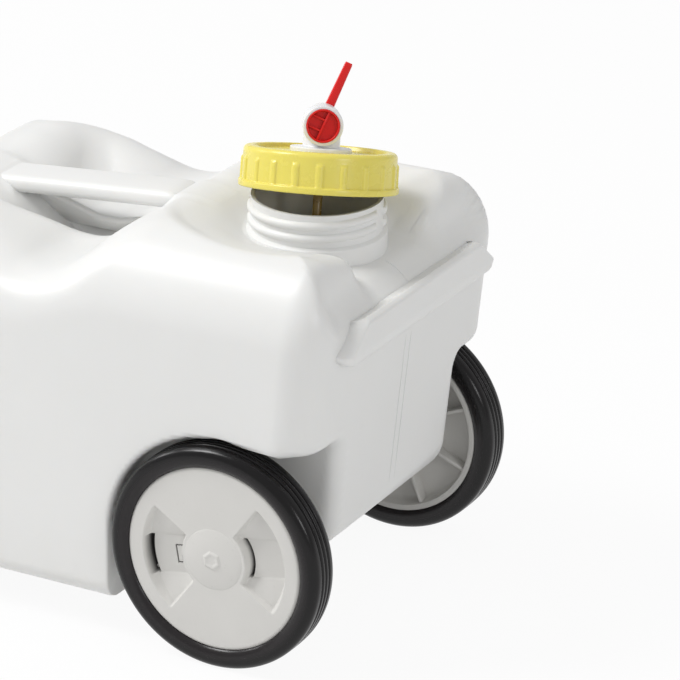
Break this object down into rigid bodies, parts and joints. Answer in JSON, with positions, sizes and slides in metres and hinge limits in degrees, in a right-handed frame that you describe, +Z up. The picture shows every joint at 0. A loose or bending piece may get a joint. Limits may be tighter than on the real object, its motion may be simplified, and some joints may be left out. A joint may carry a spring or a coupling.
{
  "type": "wheeled water bowser",
  "caption": "Blow-moulded water tank on trailing wheels, with a scooped carrying handle, a rear tow grip, a bumper ridge and a wide screw cap that carries a tap and a breather tube.",
  "frame": {"origin": "on the ground, midway along the tank and midway between the wheels", "axes": "+X to the wheel end with the filler neck, Y along the axle, +Z up"},
  "size_m": [0.495, 0.2914, 0.3775],
  "materials": {
    "tank_plastic": "matte",
    "rim_plastic": "satin",
    "washer_plastic": "satin",
    "tyre": "matte",
    "steel": "brushed",
    "spring_steel": "satin",
    "cap_plastic": "satin",
    "tap_plastic": "satin",
    "plug_plastic": "satin",
    "seal_rubber": "matte",
    "tube_plastic": "clear"
  },
  "bodies": {
    "chassis": {"tank": "tank_plastic", "axle": "steel", "washer_near": "washer_plastic", "washer_far": "washer_plastic", "retainer_near": "spring_steel", "retainer_far": "spring_steel"},
    "wheel_near": {"rim_near": "rim_plastic", "tyre_near": "tyre", "hub_cap_near": "rim_plastic"},
    "wheel_far": {"rim_far": "rim_plastic", "tyre_far": "tyre", "hub_cap_far": "rim_plastic"},
    "cap_carrier": {"cap_seal": "seal_rubber"},
    "cap": {"filler_cap": "cap_plastic", "tap_gasket": "seal_rubber", "tap_body": "tap_plastic", "tap_nut": "tap_plastic", "breather_tube": "tube_plastic"},
    "tap_lever": {"tap_plug": "plug_plastic", "tap_orings": "seal_rubber"}
  },
  "joints": [
    {"name": "wheel_near_spin", "type": "hinge", "parent": "chassis", "child": "wheel_near", "pos_m": [0.1625, -0.1315, 0.0805], "axis": [0, 1, 0], "continuous": true},
    {"name": "wheel_far_spin", "type": "hinge", "parent": "chassis", "child": "wheel_far", "pos_m": [0.1625, 0.1315, 0.0805], "axis": [0, 1, 0], "continuous": true},
    {"name": "cap_tip", "type": "hinge", "parent": "chassis", "child": "cap_carrier", "pos_m": [0.1397, 0.07459, 0.278], "axis": [-0.9563, -0.2924, 0], "range_deg": [-16.1, 16]},
    {"name": "cap_turn", "type": "hinge", "parent": "cap_carrier", "child": "cap", "pos_m": [0.16161, 0.00293, 0.29963], "axis": [-0.0811, 0.2652, 0.9608], "continuous": true},
    {"name": "tap_turn", "type": "hinge", "parent": "cap", "child": "tap_lever", "pos_m": [0.15801, 0.0147, 0.34229], "axis": [0.4736, -0.8379, 0.2713], "range_deg": [0, 90]}
  ]
}
